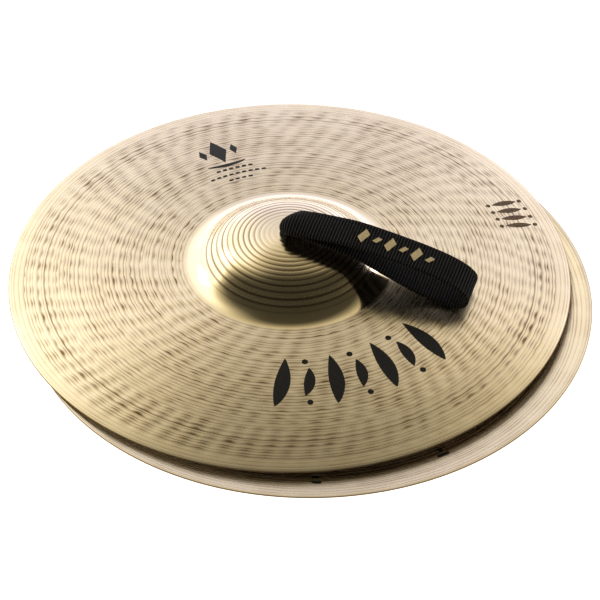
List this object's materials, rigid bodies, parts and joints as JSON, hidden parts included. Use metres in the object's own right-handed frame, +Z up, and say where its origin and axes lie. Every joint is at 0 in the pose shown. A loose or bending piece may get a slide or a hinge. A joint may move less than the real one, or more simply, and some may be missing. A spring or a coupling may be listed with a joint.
{
  "type": "hand cymbals",
  "caption": "Two bronze hand cymbals with domed bells laid face to face like a clam shell, each with a webbing hand loop through its bell.",
  "frame": {"origin": "on the surface the pair stands on, under the middle of the pair, half way between the two cymbals' axes", "axes": "+Z up along both cymbals' axes, towards the upper bell; +X to the right and -Y towards the side from which the lower cymbal's rim shows"},
  "size_m": [0.4206, 0.4296, 0.1109],
  "materials": {
    "bronze": "lathed and polished bronze",
    "webbing": "ribbed nylon webbing",
    "felt": "black leather",
    "brass": "polished",
    "nickel": "nickel plated"
  },
  "bodies": {
    "lower_cymbal": {"lower_plate": "bronze"},
    "lower_strap_seat": {"lower_pad": "felt", "lower_strap_neck": "webbing", "lower_strap_tail_a": "webbing", "lower_strap_tail_b": "webbing", "lower_eyelet_a": "brass", "lower_eyelet_b": "brass", "lower_eyelet_washer_a": "brass", "lower_eyelet_washer_b": "brass", "lower_post": "nickel", "lower_post_screw": "nickel"},
    "lower_loop": {"lower_hand_loop": "webbing"},
    "upper_cymbal": {"upper_plate": "bronze"},
    "upper_strap_seat": {"upper_pad": "felt", "upper_strap_neck": "webbing", "upper_strap_tail_a": "webbing", "upper_strap_tail_b": "webbing", "upper_eyelet_a": "brass", "upper_eyelet_b": "brass", "upper_eyelet_washer_a": "brass", "upper_eyelet_washer_b": "brass", "upper_post": "nickel", "upper_post_screw": "nickel"},
    "upper_loop": {"upper_hand_loop": "webbing"}
  },
  "joints": [
    {"name": "upper_lift", "type": "slide", "parent": "lower_cymbal", "child": "upper_cymbal", "axis": [0, 0, 1], "range_m": [0, 0.25]},
    {"name": "lower_strap_spin", "type": "hinge", "parent": "lower_cymbal", "child": "lower_strap_seat", "pos_m": [0.00715, -0.0116, 0.054], "axis": [0, 0, 1], "continuous": true},
    {"name": "lower_loop_swing", "type": "hinge", "parent": "lower_strap_seat", "child": "lower_loop", "pos_m": [-0.00754, 0.01224, 0], "axis": [-0.8513, -0.5247, 0], "range_deg": [0, 150]},
    {"name": "upper_strap_spin", "type": "hinge", "parent": "upper_cymbal", "child": "upper_strap_seat", "pos_m": [-0.00715, 0.0116, 0.0544], "axis": [0, 0, 1], "continuous": true},
    {"name": "upper_loop_swing", "type": "hinge", "parent": "upper_strap_seat", "child": "upper_loop", "pos_m": [-0.00715, 0.0116, 0.1054], "axis": [-0.284, -0.9588, 0], "range_deg": [0, 150]}
  ]
}
